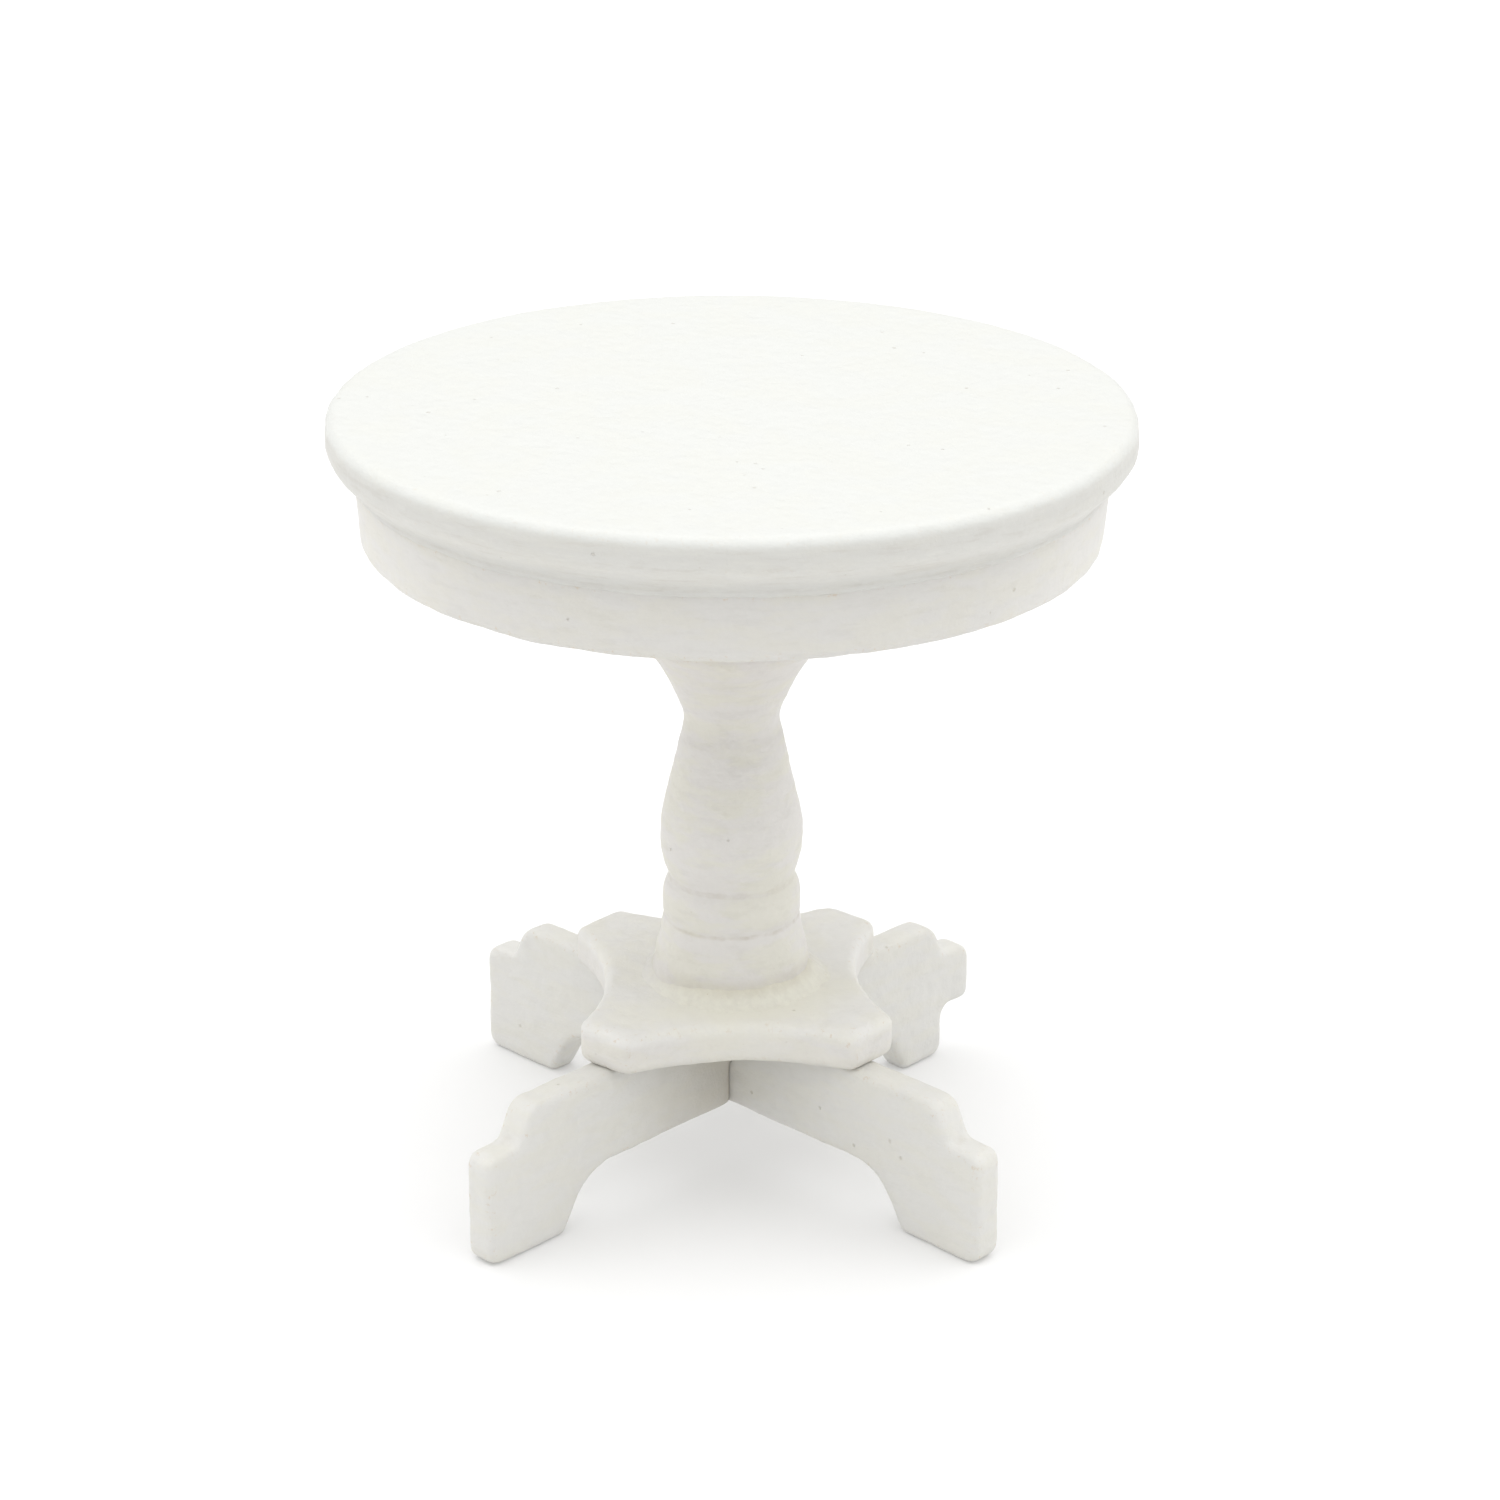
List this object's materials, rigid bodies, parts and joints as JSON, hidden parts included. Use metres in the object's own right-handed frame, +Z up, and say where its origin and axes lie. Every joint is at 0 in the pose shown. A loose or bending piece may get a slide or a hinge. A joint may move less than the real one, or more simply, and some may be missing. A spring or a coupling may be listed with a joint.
{
  "type": "miniature pedestal dining table",
  "caption": "Miniature round pedestal table in off-white painted wood: moulded top and apron on a turned column, hollow-sided base plate and crossed leg boards.",
  "frame": {"origin": "on the floor, on the axis of the column, midway between the feet", "axes": "+Z up along the column; one leg board lies along X, the other along Y, and the foot with a cut-out corner is at +Y"},
  "size_m": [0.062, 0.062, 0.0635],
  "materials": {
    "painted_top": "off-white satin paint over wood, a little glossier than the base, with fine pinholes",
    "painted_apron": "off-white satin paint, thinner on the lower edge",
    "painted_column": "off-white paint over fine turning rings, slightly yellowed",
    "painted_plate": "off-white satin paint, edges rounded by the coats",
    "painted_legs": "off-white satin paint, edges rounded by the coats, fine specks",
    "bare_dowel": "unpainted birch",
    "dried_glue": "dried glue under thin paint, slightly yellow"
  },
  "bodies": {
    "root": {"table_top": "painted_top", "apron": "painted_apron", "column": "painted_column", "top_dowel": "bare_dowel", "foot_dowel": "bare_dowel", "base_plate": "painted_plate", "leg_board_x": "painted_legs", "leg_board_y": "painted_legs"}
  },
  "joints": []
}
